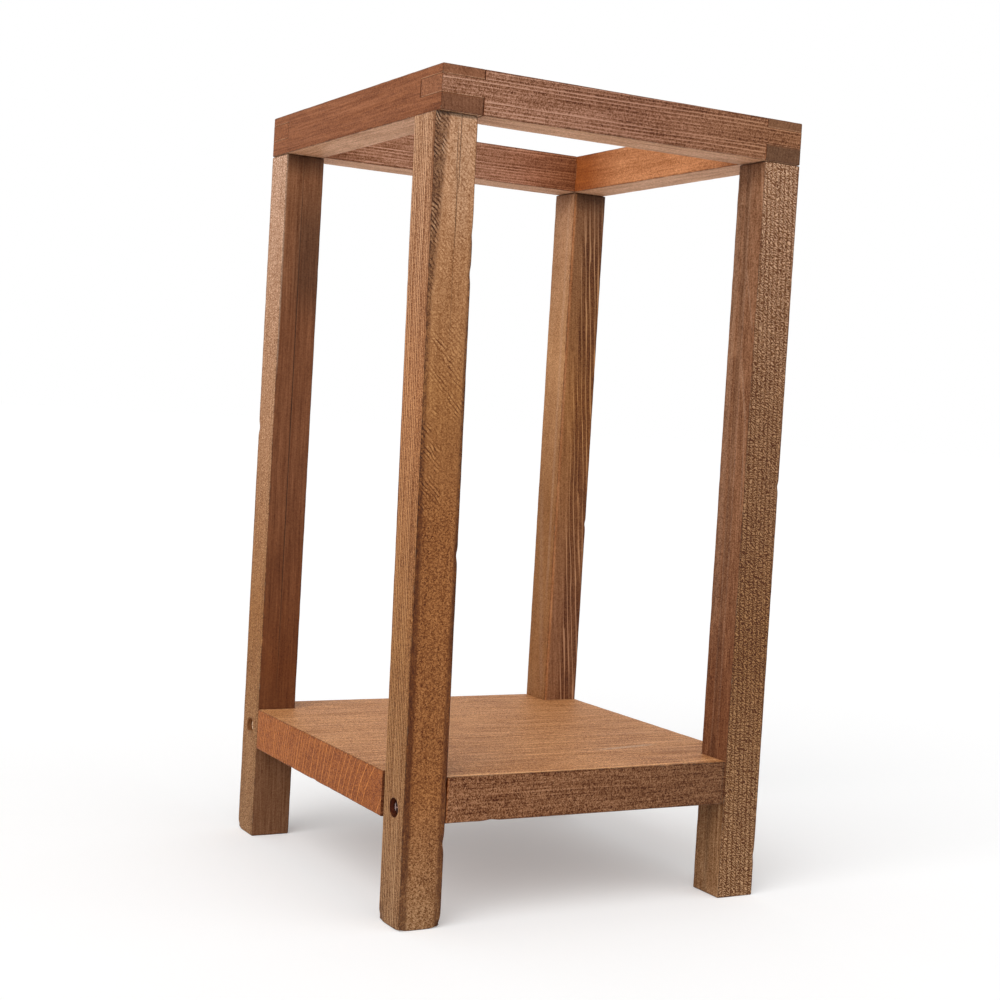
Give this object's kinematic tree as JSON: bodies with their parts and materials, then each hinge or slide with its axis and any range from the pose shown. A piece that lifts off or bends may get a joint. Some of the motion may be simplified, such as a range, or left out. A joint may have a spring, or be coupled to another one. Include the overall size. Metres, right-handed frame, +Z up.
{
  "type": "plant stand",
  "caption": "Tall square wooden plant stand: open frame on top with bridle-jointed corners, straight square legs and a thick notched shelf near the floor.",
  "frame": {"origin": "on the floor, under the middle of the square top frame", "axes": "+Z up along the legs; +X to the right along the front, which faces -Y; +Y towards the back"},
  "size_m": [0.303, 0.301, 0.58],
  "materials": {
    "leg_wood": "rough-sawn softwood, tan stain, matt",
    "rail_wood": "planed softwood, reddish brown stain, matt",
    "shelf_wood": "planed softwood board, orange-tan stain, satin on top",
    "screw_steel": "zinc-plated pan-head wood screw",
    "dowel_beech": "fluted hardwood dowel, unfinished"
  },
  "bodies": {
    "root": {"leg_front_left": "leg_wood", "leg_front_right": "leg_wood", "leg_back_left": "leg_wood", "leg_back_right": "leg_wood", "rail_left": "rail_wood", "rail_right": "rail_wood", "rail_front": "rail_wood", "rail_back": "rail_wood", "shelf": "shelf_wood", "shelf_screw_front_left": "screw_steel", "shelf_screw_front_right": "screw_steel", "shelf_screw_back_left": "screw_steel", "shelf_screw_back_right": "screw_steel", "dowel_front_left_inner": "dowel_beech", "dowel_front_left_outer": "dowel_beech", "dowel_front_right_inner": "dowel_beech", "dowel_front_right_outer": "dowel_beech", "dowel_back_left_inner": "dowel_beech", "dowel_back_left_outer": "dowel_beech", "dowel_back_right_inner": "dowel_beech", "dowel_back_right_outer": "dowel_beech"}
  },
  "joints": []
}
